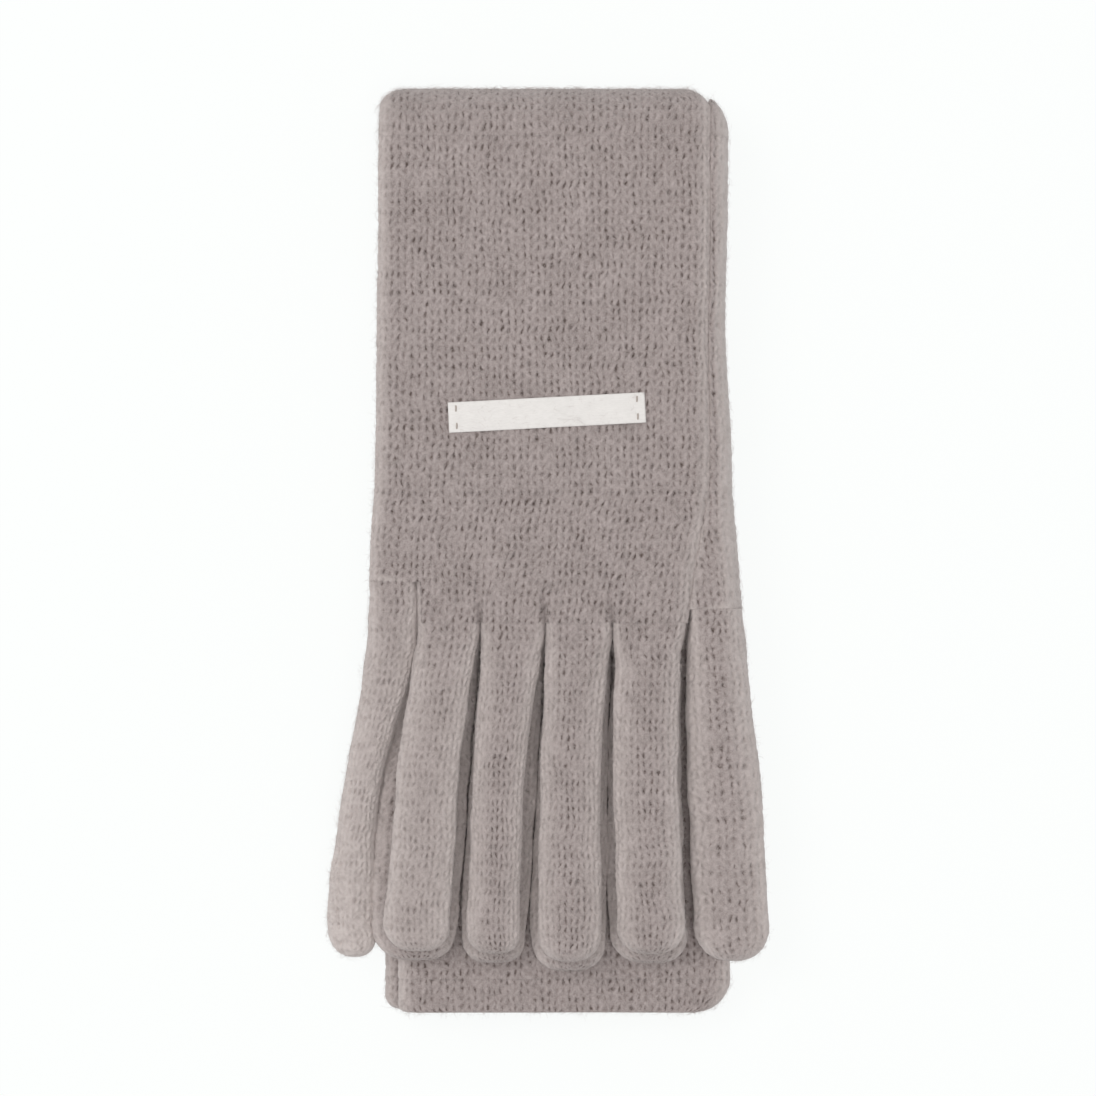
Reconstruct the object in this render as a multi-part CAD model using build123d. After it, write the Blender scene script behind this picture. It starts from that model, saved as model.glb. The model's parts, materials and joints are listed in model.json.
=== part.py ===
"""A pair of long knitted gloves, laid one on the other and folded in half, fingers and cuffs towards -Y.

The left glove is outside: its hand is the top layer, its sleeve turns round the fold at +Y and comes back
as the bottom layer. The right glove is its mirror image, lies inside that fold and sits a little to +X.
Each glove is a flattened tube of knitted fabric: hem, sleeve, fold, sleeve, palm, thumb and four fingers.
Frame: +Z up, origin under the middle of the outline, on the surface that the pair lies on. Millimetres.
"""

import os

from build123d import *

# Fabric and layers.
FABRIC = 1.0  # one thickness of the knitted fabric
CAVITY = 4.3  # clear height inside a flattened sleeve or palm
LAYER_GAP = 0.4  # between one flattened tube and the next
TUBE = CAVITY + 2 * FABRIC
THUMB_PUFF = 2.0  # how much thicker the right thumb is than a flattened sleeve
FINGER_PUFF = 1.3  # the same, for the digits of the left glove, which lie on top

# The folded pair.
PAIR_LENGTH = 235.4  # from the hems to the fold
SLEEVE_WIDTH = 83.6  # a sleeve lying flat
SLEEVE_X = {"left": -1.1, "right": 3.6}  # middle of each sleeve
HEM_LENGTH = 7.0
HEM_CORNER = {"left": 4.0, "right": 6.0}  # rounding of each hem's outer corner
WRIST_Y = 14.0  # where the sleeve becomes the palm
ROOT_Y = -19.1  # where the palm ends and the fingers start
ROOT_GAP = 0.4  # between the palm and a digit that bends
CUT = 1.0  # how far a cutting shape runs past the face that it opens

# Heights of the layers, from the bottom up, and the line that the pair folds about.
BACK_Z = {"left": 0.0, "right": TUBE + LAYER_GAP}
FOLD_Z = 2 * (TUBE + LAYER_GAP)
FRONT_Z = {"right": FOLD_Z + LAYER_GAP, "left": FOLD_Z + TUBE + 2 * LAYER_GAP}
TOP_Z = FRONT_Z["left"] + TUBE
FOLD_Y = PAIR_LENGTH / 2 - (TOP_Z - FOLD_Z)
HEM_Y = -PAIR_LENGTH / 2

# Each digit lies flat: x of the root's corners, y of the root, x of the tip's corners, y of the tip.
LEFT_DIGITS = {
    "left_thumb": (-44.9, -34.2, -9.0, -56.4, -43.8, -103.3),
    "left_index_finger": (-32.5, -17.8, ROOT_Y - ROOT_GAP, -42.6, -26.0, -102.3),
    "left_middle_finger": (-16.8, -1.3, ROOT_Y - ROOT_GAP, -20.8, -8.0, -103.0),
    "left_ring_finger": (-0.3, 15.7, ROOT_Y - ROOT_GAP, -3.2, 12.6, -105.0),
    "left_little_finger": (16.7, 33.6, ROOT_Y - ROOT_GAP, 17.4, 34.3, -103.0),
}
LEFT_THUMB_DROP = 6.0  # degrees that the left thumb slopes down, beside the pile
RIGHT_THUMB = (36.3, 48.4, -16.0, 37.8, 56.6, -104.0)
# The right glove's fingers lie under the left's in the opposite order, and reach a little further.
UNDER = {
    "right_little_finger": "left_index_finger",
    "right_ring_finger": "left_middle_finger",
    "right_middle_finger": "left_ring_finger",
    "right_index_finger": "left_little_finger",
}
UNDER_INSET = 0.5
UNDER_REACH = 3.0
TIP_ROUND = 0.44  # rounding of a digit's tip, as a share of its width
RIM_ROUND = 0.45  # rounding of a palm's or digit's rims, as a share of its thickness
TOLERANCE = 0.01  # for telling an outline's edges apart by where they lie

# Palms: x of the wall between the thumb and the fingers, and x of both sides where the digits start.
CROTCH_X = {"left": -33.3, "right": 35.7}
PALM_SIDES = {"left": (-44.8, 34.9), "right": (-32.6, 48.6)}

# The woven label on the left glove's sleeve, and the thread that tacks down its corners.
LABEL_SIZE = (49.9, 7.7, 0.6)
LABEL_PLACE = (-0.2, 34.3)
LABEL_TURN = 3.0
TACK_INSET = (1.9, 1.8)
TACK_SPAN = 1.4
THREAD = 0.45
THREAD_HOLE = 0.6
TACK_DEPTH = LABEL_SIZE[2] + 0.8 * FABRIC


def tube_wall(width, height):
    """The cross section of a flattened tube: straight top and bottom, fully round sides."""
    return SlotOverall(width, height) - SlotOverall(width - 2 * FABRIC, height - 2 * FABRIC)


def section_plane(glove, y, z):
    """The plane across a sleeve at y, centred on the flattened tube whose lower side is at z."""
    return Plane(origin=(SLEEVE_X[glove], y, z + TUBE / 2), x_dir=(1, 0, 0), z_dir=(0, 1, 0))


def sleeve(glove, z, y_from, y_to):
    """A straight stretch of flattened tube along Y, open at both ends."""
    return extrude(section_plane(glove, y_from, z) * tube_wall(SLEEVE_WIDTH, TUBE), amount=y_to - y_from)


def fold(glove):
    """The half turn from the front sleeve to the back one, open at both ends."""
    section = section_plane(glove, FOLD_Y, FRONT_Z[glove]) * tube_wall(SLEEVE_WIDTH, TUBE)
    return revolve(section, axis=Axis((0, FOLD_Y, FOLD_Z), (-1, 0, 0)), revolution_arc=180)


def hem(glove):
    """The band round the hand opening, with its outer corner worn round."""
    z = BACK_Z[glove]
    band = sleeve(glove, z, HEM_Y, HEM_Y + HEM_LENGTH)
    radius = HEM_CORNER[glove]
    outwards = -1 if glove == "left" else 1
    corner_x = SLEEVE_X[glove] + outwards * SLEEVE_WIDTH / 2
    square = Pos(corner_x - outwards * radius / 2, HEM_Y + radius / 2, z) * Box(radius, radius, 3 * TUBE)
    disc = Pos(corner_x - outwards * radius, HEM_Y + radius, z) * Cylinder(radius, 3 * TUBE)
    return band - (square - disc)


def pillow(outline, z, height, keep_sharp):
    """An outline thickened upwards from z, with its edges rounded except where keep_sharp says."""
    slab = extrude(Pos(0, 0, z) * outline, amount=height)
    middle = z + height / 2
    rims = [edge for edge in slab.edges() if abs(abs(edge.center().Z - middle) - height / 2) < TOLERANCE]
    return fillet([edge for edge in rims if not keep_sharp(edge)], RIM_ROUND * height)


def digit_outline(spec, inset, root_y):
    """The outline of a digit seen from above, square at the root and round at the tip."""
    root_left, root_right, _, tip_left, tip_right, tip_y = spec
    corners = [
        (root_left + inset, root_y),
        (root_right - inset, root_y),
        (tip_right - inset, tip_y + inset),
        (tip_left + inset, tip_y + inset),
    ]
    face = make_face(Polyline(*corners, close=True))
    return fillet(face.vertices().sort_by(Axis.Y)[:2], TIP_ROUND * (tip_right - tip_left - 2 * inset))


def digit(spec, z, height):
    """A thumb or finger: a flattened tube, closed at the tip and open at the root."""
    root_y = spec[2]
    mouth_y = root_y + CUT

    def at_y(y):
        return lambda edge: abs(edge.center().Y - y) < TOLERANCE

    outer = pillow(digit_outline(spec, 0, root_y), z, height, at_y(root_y))
    return outer - pillow(digit_outline(spec, FABRIC, mouth_y), z + FABRIC, height - 2 * FABRIC, at_y(mouth_y))


def palm(glove, thumb_root_y):
    """The palm, open at the wrist, at the thumb and at the four fingers."""
    z = FRONT_Z[glove]
    middle = SLEEVE_X[glove]
    outwards = -1 if glove == "left" else 1
    half = SLEEVE_WIDTH / 2
    low, high = PALM_SIDES[glove]
    thumb_side, far_side = (low, high) if glove == "left" else (high, low)
    crotch = CROTCH_X[glove]
    thumb_y = thumb_root_y + ROOT_GAP
    wall = outwards * FABRIC
    outer = [
        (middle + outwards * half, WRIST_Y),
        (middle - outwards * half, WRIST_Y),
        (far_side, ROOT_Y),
        (crotch, ROOT_Y),
        (crotch, thumb_y),
        (thumb_side, thumb_y),
    ]
    inner = [
        (middle + outwards * (half - FABRIC), WRIST_Y + CUT),
        (middle - outwards * (half - FABRIC), WRIST_Y + CUT),
        (far_side + wall, ROOT_Y - CUT),
        (crotch - wall, ROOT_Y - CUT),
        (crotch - wall, thumb_y + FABRIC),
        (crotch + wall, thumb_y + FABRIC),
        (crotch + wall, thumb_y - CUT),
        (thumb_side - wall, thumb_y - CUT),
    ]

    def crosswise(edge):
        along = edge.tangent_at(0.5)
        return abs(along.Y) < abs(along.X)

    shell = pillow(make_face(Polyline(*outer, close=True)), z, TUBE, crosswise)
    return shell - pillow(make_face(Polyline(*inner, close=True)), z + FABRIC, CAVITY, crosswise)


def under(spec):
    """The digit that lies under another: narrower, and reaching further."""
    root_left, root_right, root_y, tip_left, tip_right, tip_y = spec
    return (
        root_left + UNDER_INSET,
        root_right - UNDER_INSET,
        root_y,
        tip_left + UNDER_INSET,
        tip_right - UNDER_INSET,
        tip_y - UNDER_REACH,
    )


def tack_places():
    """The label's four corners, where a thread holds it down."""
    length, width, _ = LABEL_SIZE
    turned = Pos(*LABEL_PLACE, TOP_Z + LABEL_SIZE[2]) * Rot(0, 0, LABEL_TURN)
    return [
        turned * Pos(side_x * (length / 2 - TACK_INSET[0]), side_y * (width / 2 - TACK_INSET[1]))
        for side_x in (-1, 1)
        for side_y in (-1, 1)
    ]


def tack_legs(diameter):
    """Both ends of one tack, going down into the cloth from its surface at z = 0."""
    leg = Pos(0, 0, -TACK_DEPTH / 2) * Cylinder(diameter / 2, TACK_DEPTH)
    return [Pos(0, side * TACK_SPAN / 2, 0) * leg for side in (-1, 1)]


def tack():
    """A short thread on the surface at z = 0, with both ends going down into the cloth."""
    across = Pos(0, 0, THREAD / 4) * Box(THREAD, TACK_SPAN, THREAD / 2)
    ends = [Pos(0, side * TACK_SPAN / 2, THREAD / 2) * Cylinder(THREAD / 2, THREAD) for side in (-1, 1)]
    return across + ends + tack_legs(THREAD)


def pierced(solid):
    """A solid with the holes that the tacks pass through."""
    return solid - [place * hole for place in tack_places() for hole in tack_legs(THREAD_HOLE)]


def woven_label():
    length, width, thick = LABEL_SIZE
    strip = Pos(*LABEL_PLACE, TOP_Z + thick / 2) * Rot(0, 0, LABEL_TURN) * Box(length, width, thick)
    return pierced(strip)


def nodes():
    """Every node's shape by name."""
    made = {"woven_label": woven_label(), "woven_label_tacks": Compound([p * tack() for p in tack_places()])}
    for glove in ("left", "right"):
        made[f"{glove}_hem"] = hem(glove)
        made[f"{glove}_sleeve_back"] = sleeve(glove, BACK_Z[glove], HEM_Y + HEM_LENGTH, FOLD_Y)
        made[f"{glove}_sleeve_fold"] = fold(glove)
    made["left_sleeve_front"] = pierced(sleeve("left", FRONT_Z["left"], WRIST_Y, FOLD_Y))
    made["right_sleeve_front"] = sleeve("right", FRONT_Z["right"], WRIST_Y, FOLD_Y)
    made["left_palm"] = palm("left", LEFT_DIGITS["left_thumb"][2])
    made["right_palm"] = palm("right", RIGHT_THUMB[2])
    for name, spec in LEFT_DIGITS.items():
        made[name] = digit(spec, FRONT_Z["left"], TUBE + FINGER_PUFF)
    slope = Axis((0, LEFT_DIGITS["left_thumb"][2], FRONT_Z["left"]), (1, 0, 0))
    made["left_thumb"] = made["left_thumb"].rotate(slope, LEFT_THUMB_DROP)
    for name, above in UNDER.items():
        made[name] = digit(under(LEFT_DIGITS[above]), FRONT_Z["right"], TUBE)
    made["right_thumb"] = digit(RIGHT_THUMB, FRONT_Z["right"], TUBE + THUMB_PUFF)
    return made


os.makedirs("parts", exist_ok=True)
for node, shape in nodes().items():
    export_step(shape, f"parts/{node}.step")
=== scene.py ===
"""A folded pair of long knitted gloves with a blank woven label, lying on a plain pale floor.

Every knitted piece is one shell of fabric: a grid of rings round the flattened tube, raised into stocking
stitch along its normals, with a smooth lining a fabric's thickness inside it. A ring's place comes from
the CAD node that the piece stands for. Fine hairs stand out of the stitches as closed three-sided tapers.
All lengths are in metres.
"""

import json
import math

import bpy
import numpy as np
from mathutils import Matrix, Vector


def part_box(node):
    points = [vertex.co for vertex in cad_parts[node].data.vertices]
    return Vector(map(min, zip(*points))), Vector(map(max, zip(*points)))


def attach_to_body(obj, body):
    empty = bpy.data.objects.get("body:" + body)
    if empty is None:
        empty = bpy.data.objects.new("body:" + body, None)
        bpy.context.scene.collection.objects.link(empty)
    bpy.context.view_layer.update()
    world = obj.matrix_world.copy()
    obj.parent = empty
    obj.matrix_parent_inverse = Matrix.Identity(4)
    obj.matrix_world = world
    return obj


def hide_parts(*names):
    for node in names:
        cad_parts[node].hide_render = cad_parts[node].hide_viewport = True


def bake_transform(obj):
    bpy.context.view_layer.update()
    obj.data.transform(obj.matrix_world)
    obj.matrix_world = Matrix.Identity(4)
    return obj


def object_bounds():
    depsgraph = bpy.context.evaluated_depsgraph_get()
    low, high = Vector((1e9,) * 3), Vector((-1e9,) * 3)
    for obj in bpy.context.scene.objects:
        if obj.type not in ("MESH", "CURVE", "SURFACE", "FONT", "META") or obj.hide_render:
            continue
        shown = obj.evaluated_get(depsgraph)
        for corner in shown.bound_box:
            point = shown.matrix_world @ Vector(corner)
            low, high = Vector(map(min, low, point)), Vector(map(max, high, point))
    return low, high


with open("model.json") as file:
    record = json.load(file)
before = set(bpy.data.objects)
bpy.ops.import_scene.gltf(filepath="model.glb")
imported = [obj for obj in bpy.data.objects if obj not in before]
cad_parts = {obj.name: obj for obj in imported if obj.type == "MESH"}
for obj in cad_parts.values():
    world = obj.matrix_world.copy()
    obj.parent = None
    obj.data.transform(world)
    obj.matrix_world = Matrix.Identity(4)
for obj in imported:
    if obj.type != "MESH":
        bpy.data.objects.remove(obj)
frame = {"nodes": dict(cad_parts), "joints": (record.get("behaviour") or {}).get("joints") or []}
CAD_LOW, CAD_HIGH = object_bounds()

MM = 0.001

# Knit: a stitch is one wale wide and one course high. Stitch coordinates count wales round, courses along.
COURSE = 2.3 * MM
RELIEF = 0.75 * MM  # depth of the pits between the stitches
LUMPS = 0.07 * MM  # height of the lumps in the yarn
LEG_DEPTH = 0.22  # depth between one leg and the next, as a share of RELIEF; it also sets how much painted shade lies between the legs
PIT_SHARPNESS = 1.6
RIM_FLUFF_AND_HIGHLIGHT = 0.55  # share of paler colour over the stitches on a side: loose pale fibres and a painted highlight where the surface turns away
FABRIC = 1.3 * MM  # from the middle of the stitches to the lining
LEG_RISE = 0.95  # courses that a leg climbs from the middle of its wale to the side
SLEEVE_WALES = 50  # round a sleeve
EDGE = 5.0 * MM  # how far the rounding of a sleeve's side reaches in from the side

SIDE_GROWTH = 0.5 * MM  # how far the stitches of a side stand out past the CAD's side
HEM_GROWTH = 1.6 * MM  # the same for the hems

# How far a sleeve's left and right sides widen towards the wrist and towards the hem, and over what length.
FLARE = {"left": (0.4 * MM, 0.4 * MM), "right": (0.4 * MM, 1.6 * MM)}
FLARE_LENGTH = 45 * MM
HEM_FLARE = {"left": (-1.5 * MM, 0.0), "right": (0.0, 1.0 * MM)}
HEM_FLARE_LENGTH = 70 * MM
HEM_CORNERS = {"left": (4 * MM, 2 * MM), "right": (2 * MM, 9 * MM)}  # rounding: left, right
FOLD_CORNERS = {"left": (2.5 * MM, 4.5 * MM), "right": (2 * MM, 3 * MM)}
SWELL = 5.0 * MM  # how much the right glove stands up beside the left one's side

# Grid density, in steps per stitch: (across the outer face, across the inner face, along).
FINE = (10, 3, 7)
INSIDE = (3, 8, 6)  # for what shows its inner face
PLAIN = (6, 4, 5)
LINING_STEP = 8 * MM  # between the rings of a lining
OVERLAP = 0.25 * MM  # how far a knitted piece reaches back over the one that it grows out of

# Palms and digits.
GROOVE_TOP = -6.0 * MM  # y where the grooves between the fingers start
CROTCH_ROUND = 1.5 * MM
JUST_INSIDE = 0.05 * MM  # from a node's end, where it can be measured
FINGERS = ("index_finger", "middle_finger", "ring_finger", "little_finger")
DIGITS = ("thumb", *FINGERS)
THUMB_WALES = 10  # round a thumb
FINGER_WALES = 12
DIGIT_POWER = 1.85  # of a digit's section: 2 is an ellipse
EDGE_WOBBLE = 0.13 * MM
# Shares of a digit's length over which its edges, its section and its height and stitches become its own.
OWN_EDGES = 0.10
OWN_SECTION = 0.18
OWN_HEIGHT = 0.22
BEND_LENGTH = 14 * MM  # of fabric from a digit's root, handed to bender, which does not use it

# Hairs: how many on each part of each glove, and each part's own random seed, counted from its glove's.
HAIR_RADIUS = 0.04 * MM
HAIR_LENGTH = 3.2 * MM  # of the longest
MOST_HAIRS = 14000  # in one piece
HAIRS = {
    "left": {"hem": 2500, "sleeve_back": 9000, "sleeve_fold": 12000, "sleeve_front": 28000, "palm": 11000},
    "right": {"hem": 2500, "sleeve_back": 9000, "sleeve_fold": 1500, "sleeve_front": 14000, "palm": 7000},
}
DIGIT_HAIRS = {"left": 6000, "right": 4000}
HAIR_SEEDS = {"hem": 21, "sleeve_back": 22, "sleeve_fold": 23, "sleeve_front": 24, "palm": 25}
HAIR_SEEDS |= {digit: 30 + number for number, digit in enumerate(DIGITS)}

# The label and its tacks.
LABEL_LENGTH = 49.9 * MM
LABEL_WIDTH = 7.7 * MM
LABEL_THICK = 0.35 * MM
LABEL_LIFT = 0.1 * MM  # over the sleeve
LABEL_CROWN = 0.25 * MM  # how much higher its middle is than its edges
LABEL_WAVE = 0.10 * MM
LABEL_TURN = 3.0  # degrees
TACK_IN_X = 0.04  # places of the tacks, as shares of the label's length and width
TACK_IN_Y = 0.22
TACK_SPAN = 1.4 * MM
TACK_RISE = 0.35 * MM
TACK_SINK = 0.2 * MM  # how far under the tape's face its ends are
THREAD_RADIUS = 0.2 * MM

# Light and floor. Each lamp: name, place, size, power.
WORLD_STRENGTH = 0.55
LAMPS = (
    ("key", (-0.9, 0.5, 1.6), 1.0, 10.3),
    ("overhead", (0.15, -0.2, 1.9), 0.7, 9.0),
)
LAMP_COLOUR = (1.0, 0.985, 0.97)
FLOOR_STRENGTH = 0.895
FLOOR_SIZE = 6.0
FLOOR_Z = -0.2 * MM

# Camera: straight above, with a long lens.
VIEW_SIDE = 277.5 * MM  # side of the square that the camera sees at the gloves' top
LENS = 135.0
SENSOR = 36.0


def srgb(red, green, blue):
    """Linear values of a colour given as 0 to 255 on a screen."""
    shares = [value / 255 for value in (red, green, blue)]
    return tuple(c / 12.92 if c <= 0.04045 else ((c + 0.055) / 1.055) ** 2.4 for c in shares)


# ---------------------------------------------------------------- noise


def smooth_noise(points, wavelength, seed, waves=9):
    """Smooth noise of about unit size at each point, from waves in random directions."""
    rng = np.random.default_rng(seed)
    total = np.zeros(points.shape[:-1])
    for _ in range(waves):
        direction = rng.normal(size=3)
        direction /= np.linalg.norm(direction)
        length = wavelength * rng.uniform(0.6, 1.6)
        total += np.sin(points @ direction * (2 * math.pi / length) + rng.uniform(0, 2 * math.pi))
    return total / math.sqrt(waves / 2)


def smoothstep(low, high, value):
    t = np.clip((value - low) / (high - low), 0, 1)
    return t * t * (3 - 2 * t)


# ---------------------------------------------------------------- what the frame says


def node_limits(name, stations):
    """Lowest and highest x and z of a CAD node where it crosses each y: an array of (x0, x1, z0, z1)."""
    mesh = frame["nodes"][name].data
    points = np.array([v.co for v in mesh.vertices])
    ends = np.array([e.vertices[:] for e in mesh.edges])
    first, second = points[ends[:, 0]], points[ends[:, 1]]
    made = []
    for y in stations:
        crossing = (first[:, 1] - y) * (second[:, 1] - y) <= 0
        a, b = first[crossing], second[crossing]
        span = b[:, 1] - a[:, 1]
        flat = np.abs(span) < 1e-12
        t = np.where(flat, 0.0, (y - a[:, 1]) / np.where(flat, 1.0, span))
        cut = a + t[:, None] * (b - a)
        made.append((cut[:, 0].min(), cut[:, 0].max(), cut[:, 2].min(), cut[:, 2].max()))
    return np.array(made)


def joint(name):
    return next(j for j in frame["joints"] if j["name"] == name)


FOLD_Y, FOLD_Z = joint("left_unfold")["pos_m"][1:]
HEM_Y = CAD_LOW.y - HEM_GROWTH
WRIST_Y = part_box("left_palm")[1].y
ROOT_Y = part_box("left_palm")[0].y


# The left glove's right side at the wrist and at the fingers' roots, beside which the right glove stands up.
OVERLAP_EDGE = (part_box("left_sleeve_front")[1].x, node_limits("left_palm", [ROOT_Y + JUST_INSIDE])[0][1])


class Glove:
    """Where one glove's sleeve runs: s is the length along it from the hem, h the height off its middle."""

    def __init__(self, side):
        self.side = side
        self.seed = 5 if side == "left" else 105
        self.hem_corners = HEM_CORNERS[side]
        self.fold_corners = FOLD_CORNERS[side]
        back_low, back_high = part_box(f"{side}_sleeve_back")
        front_low, front_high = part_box(f"{side}_sleeve_front")
        self.back_z = (back_low.z + back_high.z) / 2
        self.front_z = (front_low.z + front_high.z) / 2
        self.half_height = (front_high.z - front_low.z) / 2
        self.middle_x = (back_low.x + back_high.x) / 2
        self.half_width = (back_high.x - back_low.x) / 2 + SIDE_GROWTH
        self.turn_radius = self.front_z - FOLD_Z
        self.thumb_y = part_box(f"{side}_thumb")[1].y + 0.4 * MM
        self.hem_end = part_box(f"{side}_hem")[1].y - HEM_Y
        self.turn_start = FOLD_Y - HEM_Y
        self.turn_end = self.turn_start + math.pi * self.turn_radius

    def swell(self, x, y, s):
        """How much further out the right glove's face stands where the left one leaves it uncovered."""
        if self.side == "left":
            return 0.0
        edge = np.interp(-y, (-WRIST_Y, -ROOT_Y), OVERLAP_EDGE)
        turned = smoothstep(self.turn_start, self.turn_start + 6 * MM, s)
        return SWELL * turned * smoothstep(edge - 1.6 * MM, edge + 0.6 * MM, x)

    def widening(self, s):
        """How much wider each side is at a length along the glove: left, right."""
        wrist = self.s_front(WRIST_Y)
        past_wrist = smoothstep(wrist, self.s_front(ROOT_Y), s)
        share = smoothstep(wrist - FLARE_LENGTH, wrist, s) * (1 - past_wrist)
        near_hem = 1 - smoothstep(0, HEM_FLARE_LENGTH, s)
        amounts = zip(FLARE[self.side], HEM_FLARE[self.side])
        return [share * at_wrist + near_hem * at_hem for at_wrist, at_hem in amounts]

    def s_front(self, y):
        """Length along the glove at y on its front layer."""
        return self.turn_end + FOLD_Y - y

    def centre(self, s):
        """Middle of the tube and the direction of its outer face at each s: (y, z, normal y, normal z)."""
        angle = np.clip((s - self.turn_start) / self.turn_radius, 0, math.pi)
        past = np.maximum(s - self.turn_end, 0)
        before = np.minimum(s, self.turn_start) - self.turn_start
        y = FOLD_Y + before - past + self.turn_radius * np.sin(angle)
        z = FOLD_Z - self.turn_radius * np.cos(angle)
        return y, z, np.sin(angle), -np.cos(angle)


# ---------------------------------------------------------------- sections and rings


def slot_quarter(half_width, half_height, edge):
    """Middle of the top to the side of a flattened tube: flat, then rounded over edge."""
    bend = np.linspace(0, math.pi / 2, 40)
    x = np.concatenate([[0.0], half_width - edge + edge * np.sin(bend)])
    return x, np.concatenate([[half_height], half_height * np.cos(bend)])


def oval_quarter(half_width, half_height, power):
    """The same for a rounder tube: a superellipse."""
    bend = np.linspace(0, math.pi / 2, 41)
    return half_width * np.sin(bend) ** (2 / power), half_height * np.cos(bend) ** (2 / power)


def between(first, second, share):
    """A quarter section part of the way from one to another."""
    return [a + (b - a) * share for a, b in zip(first, second)]


class Ring:
    """Points round a section, from the middle of its inner face to +x, round its outer face, and back."""

    def __init__(self, right, left, outer_steps, inner_steps):
        (right_x, right_h), (left_x, left_h) = right, left
        x = np.concatenate([right_x, right_x[-2::-1], -left_x[1:], -left_x[-2::-1]])
        h = np.concatenate([-right_h, right_h[-2::-1], left_h[1:], -left_h[-2::-1]])
        along = np.concatenate([[0.0], np.cumsum(np.hypot(np.diff(x), np.diff(h)))])
        self.length = along[-1]
        self.right = along[len(right_x) - 1]
        self.top = along[2 * len(right_x) - 2]
        self.left = along[2 * len(right_x) - 3 + len(left_x)]
        half = inner_steps // 2
        self.at = np.concatenate(
            [
                np.linspace(0, self.right, half + 1)[:-1],
                np.linspace(self.right, self.left, outer_steps + 1)[:-1],
                np.linspace(self.left, self.length, half + 1),
            ]
        )
        self.x = np.interp(self.at[:-1], along, x)
        self.h = np.interp(self.at[:-1], along, h)

    def wales(self):
        """Stitch coordinate round a sleeve's or a palm's ring."""
        pitch = self.length / SLEEVE_WALES
        inner_right = self.at / pitch
        outer = SLEEVE_WALES / 2 + (self.at - self.top) / pitch
        inner_left = SLEEVE_WALES - (self.length - self.at) / pitch
        left_half = np.where(self.at <= self.left, outer, inner_left)
        return np.where(self.at <= self.right, inner_right, left_half)


def breaks_of(grid):
    """The rings after a break, where most of a ring is at nearly the same place as the one before it."""
    size = np.median(np.linalg.norm(np.diff(grid, axis=0), axis=2), axis=1)
    return np.flatnonzero(size < 0.1 * np.median(size)) + 1


def steps_along(grid):
    """The step from ring to ring at each point, taken within each unbroken stretch."""
    return np.concatenate([np.gradient(part, axis=0) for part in np.split(grid, breaks_of(grid))])


def normals_of(grid):
    """Outward unit normals of a grid of rings, closed round its second axis."""
    around = np.roll(grid, -1, axis=1) - np.roll(grid, 1, axis=1)
    normal = np.cross(around, steps_along(grid))
    return normal / np.maximum(np.linalg.norm(normal, axis=2, keepdims=True), 1e-12)


# ---------------------------------------------------------------- stitches


def stitch_height(u, v):
    """Height of the felted stocking stitch, from 0 to 1: pits beside soft slanting legs."""
    side = np.abs(2 * (u - np.floor(u)) - 1)
    across = v - LEG_RISE * side
    across = across - np.round(across)
    leg = np.cos(math.pi * across) ** 2
    valley = (1 - np.clip(np.sin(math.pi * side), 0, 1)) ** PIT_SHARPNESS
    pit = valley * (1 - 0.75 * leg)
    return (1 - pit) * (1 - LEG_DEPTH * (1 - leg))


def knit(grid, u, v, seed, relief=RELIEF):
    """Sinks the hollows between uneven stitches into a grid of rings. u and v have one column more."""
    drift = smooth_noise(grid, 17 * MM, seed)
    lean = 0.05 * drift + 0.05 * smooth_noise(grid, 5.5 * MM, seed + 1)
    slip = 0.10 * drift + 0.09 * smooth_noise(grid, 7 * MM, seed + 2)
    u = u + np.concatenate([lean, lean[:, :1]], axis=1)
    v = v + np.concatenate([slip, slip[:, :1]], axis=1)
    tall = np.clip(0.85 + 0.40 * smooth_noise(grid, 4 * MM, seed + 3), 0.1, 1.6)
    normal = normals_of(grid)
    worn = 0.35 + 0.65 * smoothstep(0.3, 0.85, np.abs(normal[..., 2]))
    height = (stitch_height(u[:, :-1], v[:, :-1]) - 1) * relief * tall * worn
    height += LUMPS * worn * smooth_noise(grid, 1.9 * MM, seed + 4)
    return grid + normal * height[..., None], u, v


# ---------------------------------------------------------------- meshes


def new_mesh(name, points, faces, corner_uv=None, flat=()):
    """A smooth mesh object. faces is a list of index arrays, one for each number of corners.

    flat holds the numbers of the faces that aren't smooth.
    """
    mesh = bpy.data.meshes.new(name)
    mesh.vertices.add(len(points))
    mesh.vertices.foreach_set("co", np.asarray(points, np.float32).ravel())
    sizes = np.concatenate([np.full(len(f), f.shape[1]) for f in faces])
    corners = np.concatenate([f.ravel() for f in faces])
    mesh.loops.add(len(corners))
    mesh.loops.foreach_set("vertex_index", corners.astype(np.int32))
    mesh.polygons.add(len(sizes))
    starts = np.concatenate([[0], np.cumsum(sizes)[:-1]])
    mesh.polygons.foreach_set("loop_start", starts.astype(np.int32))
    smooth = np.ones(len(sizes), bool)
    smooth[np.asarray(flat, int)] = False
    mesh.polygons.foreach_set("use_smooth", smooth)
    if corner_uv is not None:
        mesh.uv_layers.new(name="stitch").data.foreach_set("uv", corner_uv.astype(np.float32).ravel())
    mesh.update(calc_edges=True)
    piece = bpy.data.objects.new(name, mesh)
    bpy.context.scene.collection.objects.link(piece)
    return piece


def strip(rows_from, rows_to, columns):
    """Quads between pairs of rows, and where each corner is in arrays with one more column."""
    column = np.arange(columns)
    right = (column + 1) % columns
    low, high = np.asarray(rows_from)[:, None], np.asarray(rows_to)[:, None]
    first, last = low * columns, high * columns
    corners = [first + column, first + right, last + right, last + column]
    wide = columns + 1
    places = [low * wide + column, low * wide + column + 1, high * wide + column + 1, high * wide + column]
    return [np.stack(c, -1).reshape(-1, 4) for c in (corners, places)]


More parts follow.
